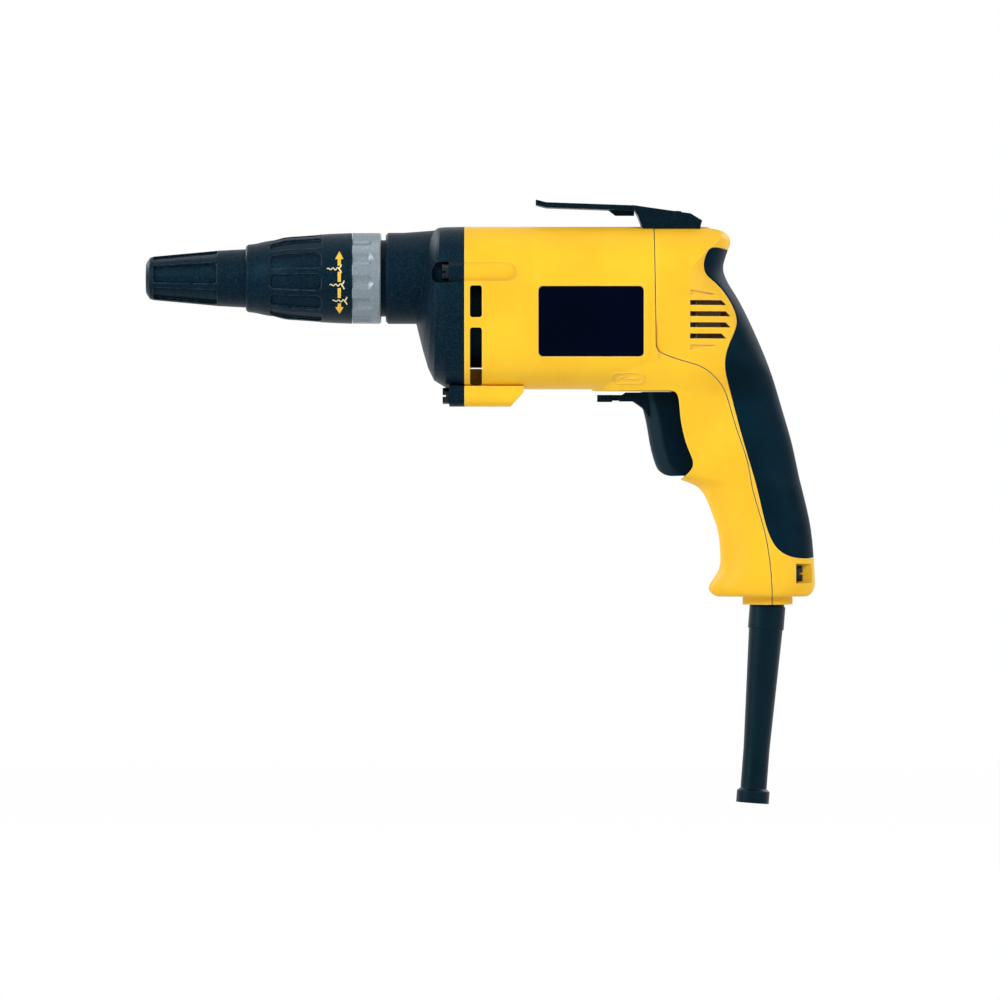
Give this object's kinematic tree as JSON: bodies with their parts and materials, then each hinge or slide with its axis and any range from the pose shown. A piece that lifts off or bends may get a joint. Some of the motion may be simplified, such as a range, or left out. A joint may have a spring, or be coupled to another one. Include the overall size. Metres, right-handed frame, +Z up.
{
  "type": "drywall screwdriver",
  "caption": "Corded drywall screwdriver: depth-setting nose, clutch-driven bit spindle, geared motor, pistol handle with trigger and reversing lever, belt hook and cord boot.",
  "frame": {"origin": "centre of the nose's front face, on the spindle axis", "axes": "+X back along the spindle, +Z up, +Y to the left seen from behind the nose looking forward"},
  "size_m": [0.305, 0.0686, 0.2754],
  "materials": {
    "yellow_plastic": "fine moulded grain",
    "black_plastic": "fine moulded grain",
    "grey_plastic": "speckled, satin",
    "label": "smooth, left bare",
    "rubber": "matte",
    "felt": "pressed felt",
    "steel": "ground",
    "screw_steel": "blackened",
    "core_steel": "stamped sheets",
    "copper": "lacquered wire",
    "bronze": "sintered",
    "carbon": "carbon",
    "cast_aluminium": "as cast",
    "capacitor_case": "moulded"
  },
  "bodies": {
    "housing": {"motor_housing": "yellow_plastic", "handle_cover": "yellow_plastic", "rear_grip": "rubber", "handle_cover_screws": "screw_steel", "side_labels": "label", "belt_hook": "black_plastic", "belt_hook_screw": "screw_steel", "gear_case": "black_plastic", "gear_case_screws": "screw_steel", "bearing_plate": "cast_aluminium", "gear_pin": "steel", "gear_washer": "steel", "spindle_bush": "bronze", "spindle_seal": "felt", "nose_o_ring": "rubber", "front_bearing": "steel", "rear_bearing": "steel", "rear_bearing_cup": "rubber", "rear_bearing_bracket": "black_plastic", "air_baffle": "black_plastic", "field_core": "core_steel", "field_coils": "copper", "brush_holders": "bronze", "brushes": "carbon", "brush_springs": "steel", "switch_body": "black_plastic", "trigger_spring": "steel", "cord_boot": "rubber", "cord_clamp": "black_plastic", "cord_clamp_screws": "screw_steel", "suppressor_capacitor": "capacitor_case"},
    "armature": {"armature_shaft": "steel", "armature_core": "core_steel", "armature_windings": "copper", "commutator": "copper", "cooling_fan": "black_plastic"},
    "gear": {"drive_gear": "steel", "clutch_spring": "steel"},
    "spindle_carrier": {"spindle_bearing": "steel"},
    "spindle": {"spindle": "steel", "spindle_circlip": "steel", "bit_holder": "steel", "bit_clip": "steel", "bit_magnet": "steel", "driver_bit": "steel"},
    "nose_mount": {"detent_ring": "grey_plastic", "guide_sleeve": "black_plastic"},
    "collar": {"depth_collar": "black_plastic"},
    "nose": {"nose_tip": "black_plastic"},
    "trigger": {"trigger": "black_plastic"},
    "lever": {"reverse_lever": "black_plastic"}
  },
  "joints": [
    {"name": "armature_spin", "type": "hinge", "parent": "housing", "child": "armature", "pos_m": [0.19, 0, -0.0153], "axis": [1, 0, 0], "continuous": true},
    {"name": "gear_spin", "type": "hinge", "parent": "housing", "child": "gear", "pos_m": [0.133, 0, 0], "axis": [1, 0, 0], "continuous": true},
    {"name": "clutch_slide", "type": "slide", "parent": "housing", "child": "spindle_carrier", "axis": [1, 0, 0], "range_m": [0, 0.0035], "stiffness_N_per_m": 800, "springref_m": -0.005, "deforming": ["clutch_spring"]},
    {"name": "spindle_spin", "type": "hinge", "parent": "spindle_carrier", "child": "spindle", "pos_m": [0.08, 0, 0], "axis": [1, 0, 0], "continuous": true},
    {"name": "nose_pull", "type": "slide", "parent": "housing", "child": "nose_mount", "axis": [-1, 0, 0], "range_m": [0, 0.11]},
    {"name": "collar_turn", "type": "hinge", "parent": "nose_mount", "child": "collar", "pos_m": [0.07, 0, 0], "axis": [1, 0, 0], "range_deg": [-360, 120]},
    {"name": "nose_depth", "type": "slide", "parent": "nose_mount", "child": "nose", "axis": [1, 0, 0], "range_m": [-0.00201, 0.00601]},
    {"name": "trigger_pull", "type": "slide", "parent": "housing", "child": "trigger", "axis": [1, 0, 0], "range_m": [0, 0.007], "stiffness_N_per_m": 400, "springref_m": -0.005, "deforming": ["trigger_spring"]},
    {"name": "reverse_switch", "type": "hinge", "parent": "housing", "child": "lever", "pos_m": [0.26297, 0, -0.0572], "axis": [0, 0, 1], "range_deg": [-7, 7]}
  ],
  "couplings": [
    {"joint": "gear_spin", "follows": "armature_spin", "ratio": -0.21429},
    {"joint": "spindle_spin", "follows": "armature_spin", "ratio": -0.21429},
    {"joint": "nose_depth", "follows": "collar_turn", "m_per_rad": -0.00095493}
  ]
}
